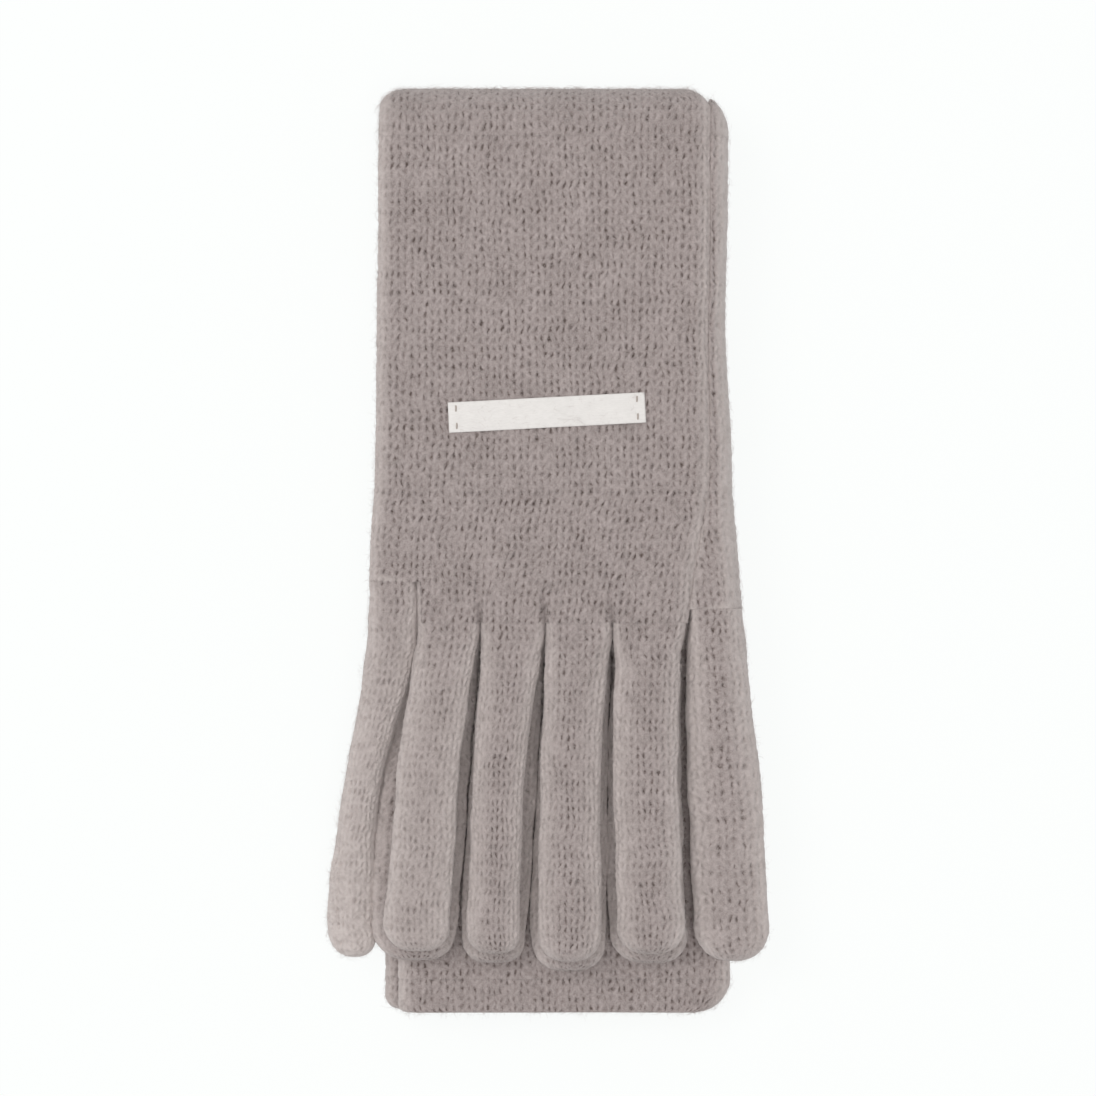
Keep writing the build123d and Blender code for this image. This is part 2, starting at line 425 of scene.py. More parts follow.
def undisturbed(normals, reach=7):
    """Normals averaged over a few rings and columns, so that they follow the tube and not its stitches."""
    total = sum(np.roll(normals, step, axis=1) for step in range(-reach, reach + 1))
    rows = np.clip(np.arange(len(normals))[:, None] + np.arange(-reach, reach + 1), 0, len(normals) - 1)
    total = total[rows].sum(axis=1)
    return total / np.maximum(np.linalg.norm(total, axis=2, keepdims=True), 1e-12)


def shell(name, outer, u, v, lining, closed_tip=False, round_start=False, pale=0.0):
    """One closed shell of fabric, from its knitted outer rings and its lining's rings, which run back."""
    outer_rows, columns = outer.shape[:2]
    rows = outer_rows + len(lining)
    points = np.concatenate([outer.reshape(-1, 3), lining.reshape(-1, 3)])
    back = np.linspace(0, 1, len(lining))[:, None]
    all_u = np.concatenate([u, np.repeat(u[-1:], len(lining), axis=0)]).ravel()
    all_v = np.concatenate([v, v[-1:] + (v[:1] - v[-1:]) * back]).ravel()
    row = np.arange(rows)
    following = np.roll(row, -1)
    if closed_tip:
        keep = row != outer_rows - 1
        row, following = row[keep], following[keep]
    ends = (row == outer_rows - 1) | ((row == rows - 1) & (not round_start))
    walls = ends | np.isin(row, breaks_of(outer) - 1)
    flat = np.flatnonzero(np.repeat(walls, columns))
    quads, places = strip(row, following, columns)
    faces = [quads]
    uv = [np.stack([all_u[places], all_v[places]], -1).reshape(-1, 2)]
    if closed_tip:
        for rim, order in ((outer_rows - 1, 1), (outer_rows, -1)):
            ring = rim * columns + np.arange(columns)
            tip = len(points)
            points = np.concatenate([points, points[ring].mean(axis=0, keepdims=True)])
            fan = np.stack([ring, np.roll(ring, -1), np.full(columns, tip)], -1)[:, ::order]
            faces.append(fan)
            wide = rim * (columns + 1) + np.arange(columns)
            spread = np.stack([all_u[wide], all_v[wide]], -1)
            uv.append(np.repeat(spread, 3, axis=0))
    made = new_mesh(name, points, faces, np.concatenate(uv), flat)
    # Paler colour, part loose fibres and part painted highlight: strongest where the outer face turns
    # sideways, plus a digit's pale share.
    fluff_and_highlight = np.zeros(len(points))
    sideways = np.abs(undisturbed(normals_of(outer))[..., 0])
    rim = RIM_FLUFF_AND_HIGHLIGHT * smoothstep(0.05, 0.75, sideways)
    fluff_and_highlight[: outer.shape[0] * columns] = np.clip(rim + pale * (1 - rim), 0, 1).ravel()
    made.data.attributes.new("fluff_and_highlight", "FLOAT", "POINT").data.foreach_set("value", fluff_and_highlight.astype(np.float32))
    return made


# ---------------------------------------------------------------- shaping


def undulate(grid, amount=0.30 * MM, wavelength=38 * MM):
    """Soft unevenness of fabric lying down, less near the floor. It depends on the place alone."""
    loose = smoothstep(2 * MM, 16 * MM, grid[..., 2])
    up = smooth_noise(grid * np.array([1.0, 1.0, 0.35]), wavelength, 11)
    sideways = smooth_noise(grid * np.array([0.0, 1.0, 1.0]), 1.4 * wavelength, 12)
    return grid + np.stack([1.2 * amount * sideways, np.zeros(up.shape), amount * loose * (up - 1.2)], -1)


def lengths(first, last, step):
    """Evenly spaced lengths from first to last, about step apart."""
    return np.linspace(first, last, max(2, int(round(abs(last - first) / step)) + 1))


def widened(values, columns):
    """Repeats one value for each ring over all its columns."""
    return np.repeat(np.asarray(values)[:, None], columns, axis=1)


def corner(from_end, radius):
    """How far a side draws in near an end whose corner is rounded."""
    short = np.clip(radius - from_end, 0, radius)
    return radius - np.sqrt(radius**2 - short**2)


def drawn_in(x, half_width, left, right):
    """x across a sleeve, with its left and right thirds drawn in."""
    still = 0.7 * half_width
    share = np.clip((np.abs(x) - still) / (half_width - still), 0, 1)
    return x + share * np.where(x < 0, left, -right)


def flat_ring(half_width, half_height, density, inset):
    """The ring of a flattened sleeve or palm, inset from the outer surface."""
    outer, inner, _ = density
    quarter = slot_quarter(half_width - inset, half_height - inset, EDGE - inset)
    return Ring(quarter, quarter, outer * SLEEVE_WALES // 2, inner * SLEEVE_WALES // 2)


def sleeve_grid(glove, stations, density, inset=0.0):
    """Rings of a sleeve at each length along it, inset from the outer surface, and their wales."""
    ring = flat_ring(glove.half_width, glove.half_height, density, inset)
    y, z, out_y, out_z = (a[:, None] for a in glove.centre(np.asarray(stations)))
    from_end = np.asarray(stations)[:, None]
    from_turn = (glove.turn_radius + glove.half_height) * (1 - out_y)
    wider = glove.widening(from_end)
    left = corner(from_end, glove.hem_corners[0]) + corner(from_turn, glove.fold_corners[0]) - wider[0]
    right = corner(from_end, glove.hem_corners[1]) + corner(from_turn, glove.fold_corners[1]) - wider[1]
    x = glove.middle_x + drawn_in(ring.x[None], glove.half_width, left, right)
    h = ring.h + glove.swell(x, y, from_end) * np.clip(ring.h / glove.half_height, 0, 1)
    grid = np.stack([x, y + h * out_y, z + h * out_z], -1)
    return grid, np.repeat(ring.wales()[None], len(stations), axis=0)


def sleeve_piece(glove, name, first, last, density):
    """A stretch of sleeve between two lengths along the glove: the object and its outer surface."""
    stations = lengths(first - OVERLAP, last, COURSE / density[2])
    grid, u = sleeve_grid(glove, stations, density)
    raised, u, v = knit(undulate(grid), u, widened(stations / COURSE, u.shape[1]), glove.seed)
    lining = undulate(sleeve_grid(glove, lengths(last, first, LINING_STEP), density, FABRIC)[0])
    return shell(name, raised, u, v, lining), raised


def hem_piece(glove, name, density):
    """The first stretch of sleeve, with the fabric's edge rounded over into the opening."""
    roll = np.linspace(0, math.pi / 2, 5)
    half_thick = FABRIC / 2
    lip = half_thick * (1 - np.sin(roll[1:]))[::-1]
    rolled = half_thick * (1 - np.cos(roll[1:]))[::-1]
    body = lengths(half_thick, glove.hem_end, COURSE / density[2])
    stations = np.concatenate([lip, body])
    insets = np.concatenate([rolled, 0 * body])
    rows = [sleeve_grid(glove, [s], density, inset) for s, inset in zip(stations, insets)]
    grid = np.concatenate([row[0] for row in rows])
    u = np.concatenate([row[1] for row in rows])
    raised, u, v = knit(undulate(grid), u, widened(stations / COURSE, u.shape[1]), glove.seed)
    back = np.concatenate([lengths(glove.hem_end, half_thick, LINING_STEP), lip[::-1]])
    depths = np.concatenate([np.full(len(back) - len(lip), FABRIC), FABRIC - rolled[::-1]])
    lining = np.concatenate([sleeve_grid(glove, [s], density, d)[0] for s, d in zip(back, depths)])
    return shell(name, raised, u, v, undulate(lining), round_start=True), raised


def root_line(side):
    """Where a palm's end is shared out: each finger's (lowest x, highest x) at its root, which touch."""
    at_root = {f: node_limits(f"{side}_{f}", [ROOT_Y - 1 * MM])[0][:2] for f in FINGERS}
    fingers = sorted(FINGERS, key=lambda f: at_root[f][0])
    ends = node_limits(f"{side}_palm", [ROOT_Y + JUST_INSIDE])[0]
    inner = [(at_root[a][1] + at_root[b][0]) / 2 for a, b in zip(fingers, fingers[1:])]
    cuts = [ends[0], *inner, ends[1]]
    return {f: pair for f, pair in zip(fingers, zip(cuts, cuts[1:]))}


def whole_palm(glove, y, density=PLAIN, inset=0.0):
    """A palm's ring at y with the thumb's root still in it, and the x of its middle and half its width."""
    far = 15 * MM
    wrist, lower = node_limits(f"{glove.side}_palm", [WRIST_Y - JUST_INSIDE, WRIST_Y - far])
    x0, x1 = (wrist + (wrist - lower) / far * (y - WRIST_Y))[:2] + np.array([-SIDE_GROWTH, SIDE_GROWTH])
    half_width = (x1 - x0) / 2
    ring = flat_ring(half_width, glove.half_height, density, inset)
    return ring, (x0 + x1) / 2, half_width


def palm_rings(glove, stations, density, inset=0.0):
    """Rings of a palm: whole down to the thumb's root, and as wide as the fingers' roots from there on."""
    left = glove.side == "left"
    name = f"{glove.side}_palm"
    height = glove.half_height - inset
    crotch = node_limits(name, [ROOT_Y + JUST_INSIDE])[0][0 if left else 1]
    thumb_y = glove.thumb_y
    grooves = [pair[0] for pair in sorted(root_line(glove.side).values())[1:]]
    grid, wales = [], []
    for y in stations:
        wider = glove.widening(glove.s_front(y))
        ring, middle, half_width = whole_palm(glove, y, density, inset)
        x = middle + drawn_in(ring.x, half_width, -wider[0], -wider[1])
        h = ring.h.copy()
        if y < thumb_y:
            away = 1 if left else -1
            edge = crotch + away * inset
            beyond = np.flatnonzero(away * (x - edge) < CROTCH_ROUND)
            angle = np.linspace(1, -1, len(beyond)) * away * math.pi / 2
            x[beyond] = edge + away * CROTCH_ROUND * (1 - np.cos(angle))
            h[beyond] = height * np.sin(angle)
        h = h + glove.swell(x, y, glove.s_front(y)) * np.clip(h / glove.half_height, 0, 1)
        sink = smoothstep(-GROOVE_TOP, -ROOT_Y, -y) * np.clip(h, 0, glove.half_height)
        z = glove.front_z + h
        for groove in grooves:
            near = np.clip(1 - np.abs(x - groove) / CROTCH_ROUND, 0, 1)
            z -= sink * (1 - np.sqrt(1 - near**2))
        grid.append(np.stack([x, np.full(len(x), y), z], -1))
        wales.append(ring.wales())
    return np.array(grid), np.array(wales)


def palm_piece(glove, name, density):
    """A palm, from the wrist to the roots of its fingers."""
    upper = lengths(WRIST_Y + OVERLAP, glove.thumb_y, COURSE / density[2])
    stations = np.concatenate([upper, lengths(glove.thumb_y - 0.02 * MM, ROOT_Y, COURSE / density[2])])
    grid, u = palm_rings(glove, stations, density)
    v = widened(glove.s_front(stations) / COURSE, u.shape[1])
    raised, u, v = knit(undulate(grid), u, v, glove.seed)
    lining = palm_rings(glove, lengths(ROOT_Y, WRIST_Y, LINING_STEP / 4), density, FABRIC)[0]
    return shell(name, raised, u, v, undulate(lining)), raised


def bowed(share, bow):
    """Sideways shift of an edge at each share of the length: bow is a few (share, shift in mm)."""
    if not bow:
        return 0 * share
    places, shifts = np.array(bow, float).T
    bent = [np.interp(share + nearby, places, shifts * MM) for nearby in (-0.07, 0, 0.07)]
    return (bent[0] + 2 * bent[1] + bent[2]) / 4


class Digit:
    """The shape of one digit: it grows out of the palm, follows its CAD node and has its edges bowed."""

    def __init__(self, glove, name, bow_left=(), bow_right=(), raised=0.0, reach=0.0, pale=(0.0, 0.0)):
        self.glove = glove
        self.node = f"{glove.side}_{name}"
        self.wales = THUMB_WALES if name == "thumb" else FINGER_WALES
        self.seed = glove.seed + 50 + 2 * DIGITS.index(name)
        self.node_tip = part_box(self.node)[0].y
        self.tip = self.node_tip - reach
        if name == "thumb":
            self.root = glove.thumb_y
            whole, cut = palm_rings(glove, [self.root + 0.1 * MM, ROOT_Y], PLAIN)[0][..., 0]
            self.root_x = (whole.min(), cut.min()) if glove.side == "left" else (cut.max(), whole.max())
        else:
            self.root = ROOT_Y
            self.root_x = root_line(glove.side)[name]
        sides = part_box(f"{glove.side}_palm")
        outermost = [abs(self.root_x[1] - sides[1].x) < EDGE, abs(self.root_x[0] - sides[0].x) < EDGE]
        self.edges = [EDGE if outer_side else CROTCH_ROUND for outer_side in outermost]
        self.bow_left, self.bow_right, self.raised, self.pale = bow_left, bow_right, raised, pale
        ring, self.palm_middle, _ = whole_palm(glove, self.root)
        self.palm_pitch = ring.length / SLEEVE_WALES

    def rings(self, stations, density, inset=0.0):
        outer, inner, _ = density
        share = (self.root - stations) / (self.root - self.tip)
        on_node = self.root - share * (self.root - self.node_tip)
        limits = node_limits(self.node, np.minimum(on_node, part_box(self.node)[1].y - 2 * MM))
        grown = smoothstep(0, OWN_HEIGHT, share)
        own = smoothstep(0, OWN_EDGES, share)
        x0 = limits[:, 0] + bowed(share, self.bow_left) - SIDE_GROWTH
        x1 = limits[:, 1] + bowed(share, self.bow_right) + SIDE_GROWTH
        line = np.stack([0 * stations, stations, 0 * stations], -1)
        wobble = [EDGE_WOBBLE * own * smooth_noise(line, 13 * MM, self.seed + k) for k in (0, 1)]
        x0 = self.root_x[0] + (x0 - self.root_x[0]) * own + inset + wobble[0]
        x1 = self.root_x[1] + (x1 - self.root_x[1]) * own - inset + wobble[1]
        palm_z = self.glove.front_z + self.glove.half_height * np.array([-1, 1])
        z0 = palm_z[0] + (limits[:, 2] - palm_z[0]) * grown + inset
        z1 = palm_z[1] + (limits[:, 3] - palm_z[1]) * grown - inset
        z1 = z1 + self.raised * (1 - smoothstep(0.0, 0.9, share))
        grid, turns = [], []
        for i, y in enumerate(stations):
            half_width, half_height = (x1[i] - x0[i]) / 2, max((z1[i] - z0[i]) / 2, 0.05 * MM)
            round_share = smoothstep(0, OWN_SECTION, share[i])
            oval = oval_quarter(half_width, half_height, DIGIT_POWER)
            slots = [slot_quarter(half_width, half_height, edge - inset) for edge in self.edges]
            quarters = [between(slot, oval, round_share) for slot in slots]
            ring = Ring(*quarters, outer * self.wales // 2, inner * self.wales // 2)
            x = (x0[i] + x1[i]) / 2 + ring.x
            grid.append(np.stack([x, np.full(len(x), y), (z0[i] + z1[i]) / 2 + ring.h], -1))
            own_pitch = ring.length / self.wales
            pitch = self.palm_pitch + (own_pitch - self.palm_pitch) * grown[i]
            turns.append((ring.at - ring.top) / pitch)
        return np.array(grid), np.array(turns)


def digit_piece(digit, density):
    """One digit, closed at its tip. Its stitches carry on from the palm's."""
    length = digit.root - digit.tip
    step = COURSE / density[2]
    cap = min(8 * MM, 0.2 * length)
    bend = lengths(0, math.pi / 2, step / cap)[1:-1]
    straight = lengths(-OVERLAP, length - cap, step)
    from_root = np.concatenate([straight, length - cap + cap * np.sin(bend)])
    walked = np.concatenate([straight, length - cap + cap * bend])
    grid, turns = digit.rings(digit.root - from_root, density)
    middle = (grid[0, :, 0].min() + grid[0, :, 0].max()) / 2
    u = SLEEVE_WALES / 2 - (middle - digit.palm_middle) / digit.palm_pitch + turns
    v = widened((digit.glove.s_front(digit.root) + walked) / COURSE, u.shape[1])
    relief = RELIEF * (1 - 0.8 * smoothstep(length - 4 * MM, length, from_root))[:, None]
    raised, u, v = knit(undulate(grid), u, v, digit.glove.seed, relief)
    back = lengths(digit.tip + 2.5 * FABRIC, digit.root, LINING_STEP / 2)
    lining = undulate(digit.rings(back, density, FABRIC)[0])
    # pale: paler towards the tip, part loose fuzz and part painted light.
    pale = np.interp(from_root, (0, 0.3 * length, length), (0, *digit.pale))[:, None]
    return shell(digit.node, raised, u, v, lining, closed_tip=True, pale=pale), raised


# ---------------------------------------------------------------- fuzz


def fuzz(name, surface, count, seed):
    """Fine hairs standing out of a surface where it does not face down, as closed three-sided tapers."""
    rng = np.random.default_rng(seed)
    normal = normals_of(surface)
    around = np.linalg.norm(np.roll(surface, -1, axis=1) - surface, axis=2)
    along = np.linalg.norm(steps_along(surface), axis=2)
    weight = (around * along * smoothstep(-0.45, 0.15, normal[..., 2])).ravel()
    picked = rng.choice(len(weight), count, p=weight / weight.sum())
    root = surface.reshape(-1, 3)[picked]
    out = normal.reshape(-1, 3)[picked]
    side = rng.normal(size=(count, 3))
    side -= (side * out).sum(axis=1, keepdims=True) * out
    side /= np.linalg.norm(side, axis=1, keepdims=True)
    across = np.cross(out, side)
    length = HAIR_LENGTH * rng.uniform(0.25, 1.0, (count, 1)) ** 1.3
    stand = rng.uniform(0.05, 0.75, (count, 1))
    curl = rng.uniform(-0.5, 0.5, (count, 1))
    thick = rng.uniform(0.5, 1.0, (count, 1)) * HAIR_RADIUS
    segments = 2
    rings = []
    for i in range(segments + 1):
        t = i / segments
        spine = root - 0.1 * MM * out + length * (
            t * side + (stand * t * (1.15 - 0.75 * t)) * out + curl * t * t * across
        )
        for k in range(3):
            angle = 2 * math.pi * k / 3
            spoke = math.cos(angle) * across + math.sin(angle) * out
            rings.append(spine + thick * (1 - 0.75 * t) * spoke)
    points = np.stack(rings, axis=1)
    per_hair = points.shape[1]
    base = np.arange(count)[:, None, None] * per_hair
    quads = strip(range(segments), range(1, segments + 1), 3)[0][:, [0, 3, 2, 1]]
    caps = [[0, 1, 2], [3 * segments + 2, 3 * segments + 1, 3 * segments]]
    faces = [(base + quads).reshape(-1, 4), (base + np.array(caps)).reshape(-1, 3)]
    return new_mesh(name, points.reshape(-1, 3), faces)


# ---------------------------------------------------------------- materials


class Graph:
    """A material's nodes, with short ways to add arithmetic."""

    def __init__(self, name):
        self.material = bpy.data.materials.new(name)
        self.material.use_nodes = True
        self.nodes = self.material.node_tree.nodes
        self.links = self.material.node_tree.links
        self.shader = self.nodes["Principled BSDF"]

    def add(self, kind, inputs=None, **settings):
        node = self.nodes.new(kind)
        for key, value in settings.items():
            setattr(node, key, value)
        for key, value in (inputs or {}).items():
            self.put(node.inputs[key], value)
        return node

    def put(self, socket, value):
        if isinstance(value, bpy.types.NodeSocket):
            self.links.new(value, socket)
        else:
            socket.default_value = value

    def math(self, operation, *values):
        node = self.nodes.new("ShaderNodeMath")
        node.operation = operation
        for socket, value in zip(node.inputs, values):
            self.put(socket, value)
        return node.outputs[0]

    def noise(self, size, detail=2.0, stretch=(1, 1, 1)):
        """Noise from 0 to 1 with features about size across."""
        place = self.add("ShaderNodeTexCoord").outputs["Object"]
        scaled = self.add("ShaderNodeVectorMath", operation="MULTIPLY")
        self.put(scaled.inputs[0], place)
        scaled.inputs[1].default_value = stretch
        noise = self.add(
            "ShaderNodeTexNoise", {"Vector": scaled.outputs[0], "Scale": 1 / size, "Detail": detail}
        )
        return noise.outputs["Fac"]

    def centred(self, noise, amount):
        """Noise from 0 to 1, moved to lie about 0 and made amount high."""
        return self.math("MULTIPLY", self.math("SUBTRACT", noise, 0.5), amount)

    def blend(self, share, low, high):
        node = self.add("ShaderNodeMix", data_type="RGBA")
        self.put(node.inputs[0], share)
        self.put(node.inputs[6], (*low, 1.0) if isinstance(low, tuple) else low)
        self.put(node.inputs[7], (*high, 1.0) if isinstance(high, tuple) else high)
        return node.outputs[2]

    def bump(self, height, distance):
        node = self.add("ShaderNodeBump", {"Height": height, "Distance": distance, "Strength": 1.0})
        self.put(self.shader.inputs["Normal"], node.outputs["Normal"])


def knit_material(name, pit_shade_colour, yarn_colour, fluff_and_highlight_colour, sheen):
    """Felted yarn, with painted shade in the pits and between the legs of the stitches, and paler and
    smoother where it turns away: loose fibres and a painted highlight.
    """
    g = Graph(name)
    place = g.add("ShaderNodeUVMap", uv_map="stitch").outputs["UV"]
    parts = g.add("ShaderNodeSeparateXYZ", {"Vector": place})
    wander = g.centred(g.noise(1.8 * MM), 0.45)
    u = g.math("ADD", parts.outputs["X"], wander)
    v = g.math("ADD", parts.outputs["Y"], wander)
    side = g.math("ABSOLUTE", g.math("SUBTRACT", g.math("MULTIPLY", g.math("FRACT", u), 2.0), 1.0))
    climb = g.math("SUBTRACT", v, g.math("MULTIPLY", side, LEG_RISE))
    across = g.math("SUBTRACT", climb, g.math("ROUND", climb))
    cosine = g.math("COSINE", g.math("MULTIPLY", across, math.pi))
    off_leg = g.math("SUBTRACT", 1.0, g.math("MULTIPLY", cosine, cosine))
    sine = g.math("MAXIMUM", g.math("SINE", g.math("MULTIPLY", side, math.pi)), 0.0)
    valley = g.math("POWER", g.math("SUBTRACT", 1.0, sine), PIT_SHARPNESS)
    pit = g.math("MULTIPLY", valley, g.math("ADD", 0.25, g.math("MULTIPLY", off_leg, 0.75)))
    strength = g.math("MULTIPLY", g.math("SUBTRACT", g.noise(3.2 * MM, 2.0), 0.34), 3.4)
    strength = g.math("MINIMUM", g.math("MAXIMUM", strength, 0.12), 1.3)
    # How much paler the yarn is painted: loose fibres and a painted highlight where the surface turns away.
    fluff_and_highlight = g.add("ShaderNodeAttribute", attribute_name="fluff_and_highlight").outputs["Fac"]
    clear = g.math("SUBTRACT", 1.0, g.math("MULTIPLY", fluff_and_highlight, 0.85))
    pit = g.math("MULTIPLY", g.math("MULTIPLY", pit, strength), clear)
    leg = g.math("MULTIPLY", g.math("MULTIPLY", off_leg, LEG_DEPTH), clear)
    fibre = g.noise(0.45 * MM, 4.0)
    hairs = g.noise(0.9 * MM, 4.0, (1.0, 0.35, 1.0))
    patch = g.noise(12 * MM, 3.0)
    # Painted shade: the colour darkens in the pits and between the legs of the stitches, where shade falls.
    dark = g.math("ADD", g.math("MULTIPLY", pit, 0.95), g.math("MULTIPLY", leg, 0.5))
    for noise, amount in ((fibre, 0.75), (hairs, 0.55), (patch, 0.35)):
        dark = g.math("ADD", dark, g.centred(noise, amount))
    dark = g.math("ADD", dark, 0.18)
    knitted = g.blend(dark, yarn_colour, pit_shade_colour)
    g.put(g.shader.inputs["Base Color"], g.blend(g.math("MULTIPLY", fluff_and_highlight, 0.75), knitted, fluff_and_highlight_colour))
    g.shader.inputs["Roughness"].default_value = 1.0
    g.shader.inputs["Specular IOR Level"].default_value = 0.1
    g.shader.inputs["Sheen Weight"].default_value = sheen
    g.shader.inputs["Sheen Roughness"].default_value = 0.6
    height = g.math("SUBTRACT", g.math("MULTIPLY", fibre, 0.7), g.math("MULTIPLY", pit, 0.5))
    g.bump(g.math("ADD", height, g.math("MULTIPLY", hairs, 0.4)), 0.30 * MM)
    return g.material


def plain_material(name, colour, roughness, sheen=0.0):
    g = Graph(name)
    g.shader.inputs["Base Color"].default_value = (*colour, 1.0)
    g.shader.inputs["Roughness"].default_value = roughness
    g.shader.inputs["Specular IOR Level"].default_value = 0.1
    g.shader.inputs["Sheen Weight"].default_value = sheen
    return g.material


def tape_material():
    """Satin-woven off-white tape: fine threads along it, a soft sheen."""
    g = Graph("label_tape")
    threads = g.noise(0.3 * MM, 2.0, (0.25, 1.0, 1.0))
    shade = g.noise(3 * MM, 2.0)
    mixed = g.math("ADD", g.math("MULTIPLY", threads, 0.6), g.math("MULTIPLY", shade, 0.4))
    g.put(g.shader.inputs["Base Color"], g.blend(mixed, TAPE_DARK, TAPE_LIGHT))
    g.shader.inputs["Roughness"].default_value = 0.6
    g.bump(threads, 0.03 * MM)
    return g.material


FLOOR_DIFFUSE = srgb(90, 90, 90)
FLOOR_GLOW = srgb(253, 255, 254)
# Painted shade: the colour of the pits between the stitches.
YARN_PIT_SHADE = srgb(94, 81, 76)
YARN_BODY = srgb(184, 173, 171)
# Painted highlight and loose fibres: the pale colour where the yarn turns away.
YARN_FLUFF_AND_HIGHLIGHT = srgb(222, 213, 209)
HAIR = srgb(200, 190, 187)
TAPE_DARK = srgb(216, 213, 210)
TAPE_LIGHT = srgb(242, 239, 236)
THREAD = srgb(176, 166, 158)
YARN = knit_material("knitted_yarn", YARN_PIT_SHADE, YARN_BODY, YARN_FLUFF_AND_HIGHLIGHT, 0.25)
FUZZ = plain_material("yarn_fuzz", HAIR, 1.0, 0.2)
TAPE = tape_material()
STITCH = plain_material("label_thread", THREAD, 0.7)


# ---------------------------------------------------------------- putting the pieces in


def place_piece(piece, node, material, attach):
    """Gives a piece its material, hands it to attach and hides the CAD node that it stands for."""
    piece.data.materials.append(material)
    attach(piece)
    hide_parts(node)


def dress(glove, part, made, attach):
    """Puts in the knitted piece of one part of a glove, with its fuzz."""
    piece, surface = made
    node = f"{glove.side}_{part}"
    hairs = HAIRS[glove.side].get(part, DIGIT_HAIRS[glove.side])
    piece.name = f"{node}_knit"
    place_piece(piece, node, YARN, attach)
    for tuft in range(math.ceil(hairs / MOST_HAIRS)):
        count = min(MOST_HAIRS, hairs - tuft * MOST_HAIRS)
        seed = glove.seed + HAIR_SEEDS[part] + 1000 * tuft
        hair = fuzz(f"{node}_fuzz_{tuft + 1}", surface, count, seed)
        place_piece(hair, node, FUZZ, attach)


def rider(body):
    return lambda piece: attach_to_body(piece, body)


def bender(first, second, start, end):
    return lambda piece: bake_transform(piece)


LEFT = Glove("left")
RIGHT = Glove("right")


def back_layer(glove):
    """The hem and the sleeve that lie underneath."""
    side, attach = glove.side, rider(f"{glove.side}_back")
    dress(glove, "hem", hem_piece(glove, f"{side}_hem", INSIDE), attach)
    made = sleeve_piece(glove, f"{side}_sleeve_back", glove.hem_end, glove.turn_start, INSIDE)
    dress(glove, "sleeve_back", made, attach)


def fold_layer(glove, density, from_z, to_z):
    """The turn between the layers.
    """
    side = glove.side
    made = sleeve_piece(glove, f"{side}_sleeve_fold", glove.turn_start, glove.turn_end, density)
    ends = [(glove.middle_x, FOLD_Y, z) for z in (to_z, from_z)]
    dress(glove, "sleeve_fold", made, bender(f"{side}_front", f"{side}_back", *ends))


def front_layer(glove, density):
    """The sleeve and the palm on top of them."""
    side, attach = glove.side, rider(f"{glove.side}_front")
    made = sleeve_piece(glove, f"{side}_sleeve_front", glove.turn_end, glove.s_front(WRIST_Y), density)
    dress(glove, "sleeve_front", made, attach)
    dress(glove, "palm", palm_piece(glove, f"{side}_palm", density), attach)


def digits(glove, shapes, density):
    """A glove's thumb and fingers."""
    for name, settings in shapes.items():
        digit = Digit(glove, name, **settings)
        pivot = joint(f"{digit.node}_bend")["pos_m"]
        start = (pivot[0], digit.root, pivot[2])
        end = (pivot[0], digit.root - BEND_LENGTH, pivot[2])
        attach = bender(f"{glove.side}_front", f"{digit.node}_body", start, end)
        dress(glove, name, digit_piece(digit, density), attach)


def label():
    """The blank woven tape, lying on the sleeve and following it."""
    low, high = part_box("woven_label")
    across, along = 150, 28
    i, j = np.meshgrid(np.arange(across + 1), np.arange(along + 1), indexing="ij")
    x = (i / across - 0.5) * LABEL_LENGTH
    y = (j / along - 0.5) * LABEL_WIDTH
    near_end = np.abs(x / LABEL_LENGTH * 2) ** 8
    turn = math.radians(LABEL_TURN)
    middle = (low + high) / 2
    place = np.stack(
        [
            middle.x + x * math.cos(turn) - y * math.sin(turn),
            middle.y + x * math.sin(turn) + y * math.cos(turn),
            np.full(x.shape, LEFT.front_z + LEFT.half_height),
        ],
        -1,
    )
    bed = undulate(place)
    crown = LABEL_CROWN * (1 - near_end) * np.cos(math.pi * y / LABEL_WIDTH)
    wave = LABEL_WAVE * smooth_noise(place, 14 * MM, 41) + crown
    top = bed + np.stack([0 * x, 0 * x, LABEL_THICK + LABEL_LIFT + wave], -1)
    bottom = top - np.array([0, 0, LABEL_THICK])
    count = (across + 1) * (along + 1)
    index = np.arange(count).reshape(across + 1, along + 1)
    flat = np.stack([index[:-1, :-1], index[1:, :-1], index[1:, 1:], index[:-1, 1:]], -1).reshape(-1, 4)
    rim = np.concatenate([index[:, 0], index[-1, 1:], index[-2::-1, -1], index[0, -2:0:-1]])
    following = np.roll(rim, -1)
    walls = np.stack([rim + count, following + count, following, rim], -1)
    points = np.concatenate([top.reshape(-1, 3), bottom.reshape(-1, 3)])
    faces = [flat, flat[:, ::-1] + count, walls]
    piece = new_mesh("woven_label_tape", points, faces, flat=range(len(flat), 2 * len(flat) + len(walls)))
    place_piece(piece, "woven_label", TAPE, rider("left_front"))
    return top


